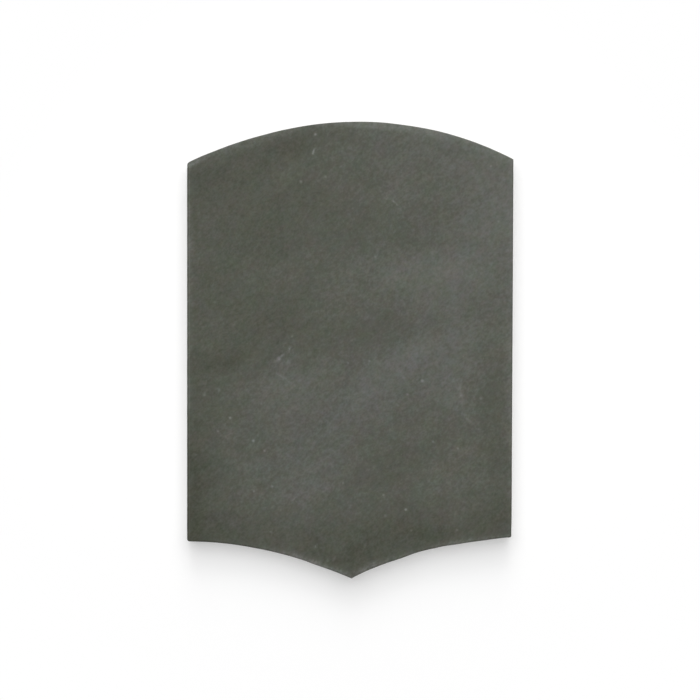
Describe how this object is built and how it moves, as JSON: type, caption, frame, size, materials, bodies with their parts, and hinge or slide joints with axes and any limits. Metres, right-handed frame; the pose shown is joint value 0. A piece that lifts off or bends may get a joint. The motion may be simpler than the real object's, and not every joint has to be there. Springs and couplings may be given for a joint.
{
  "type": "porcelain tile",
  "caption": "Matt dark grey-green porcelain tile with an arched head, straight sides and a foot of two hollow curves that meet in a point, made to nest row under row",
  "frame": {"origin": "middle of the overall outline, on the back of the tile", "axes": "+X from the left side to the right side, +Y towards the arched head, +Z out of the face"},
  "size_m": [0.127, 0.1778, 0.009],
  "materials": {
    "tile": "matt dark grey-green face with soft clouding, unglazed sides and back"
  },
  "bodies": {
    "root": {"tile": "tile"}
  },
  "joints": []
}
